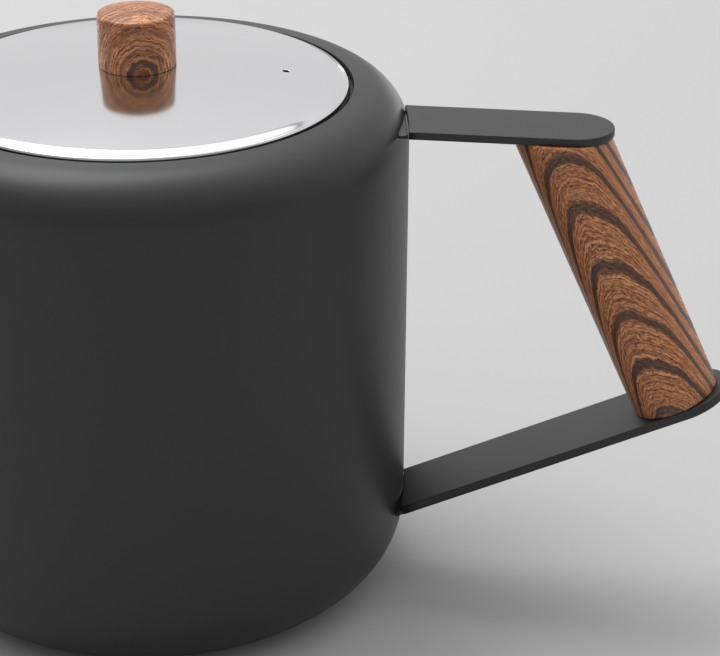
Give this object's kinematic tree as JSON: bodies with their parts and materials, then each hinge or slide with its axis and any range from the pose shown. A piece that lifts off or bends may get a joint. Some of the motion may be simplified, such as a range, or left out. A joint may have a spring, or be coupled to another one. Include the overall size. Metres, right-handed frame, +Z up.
{
  "type": "teapot",
  "caption": "Double-walled cylindrical teapot with a recessed domed lid, wooden knob, lift-out infuser, straight spout and a strap handle with a slanted wooden grip.",
  "frame": {"origin": "centre of the flat foot, on the pot's axis, at table height", "axes": "+Z up along the pot's axis; +X towards the handle; the spout points along -X"},
  "size_m": [0.2853, 0.136, 0.1549],
  "materials": {
    "powder_coat": "matte black powder coat",
    "polished_steel": "mirror polished stainless steel",
    "satin_steel": "satin stainless steel",
    "dark_wood": "oiled, figured hardwood",
    "brass": "plain turned brass"
  },
  "bodies": {
    "pot": {"outer_shell": "powder_coat", "base_pan": "powder_coat", "inner_vessel": "satin_steel", "spout": "powder_coat", "upper_saddle": "powder_coat", "lower_saddle": "powder_coat", "upper_strap": "powder_coat", "lower_strap": "powder_coat", "grip": "dark_wood", "grip_boss": "satin_steel", "tie_screw": "satin_steel", "tie_washer": "satin_steel"},
    "infuser": {"infuser_rim": "satin_steel", "infuser_wall": "satin_steel", "infuser_base": "satin_steel"},
    "lid": {"lid_plate": "polished_steel", "lid_skirt": "satin_steel", "knob": "dark_wood", "knob_insert": "brass", "knob_screw": "satin_steel", "knob_washer": "satin_steel"}
  },
  "joints": [
    {"name": "infuser_lift", "type": "slide", "parent": "pot", "child": "infuser", "axis": [0, 0, 1], "range_m": [0, 0.11]},
    {"name": "lid_lift", "type": "slide", "parent": "infuser", "child": "lid", "axis": [0, 0, 1], "range_m": [0, 0.06]}
  ]
}
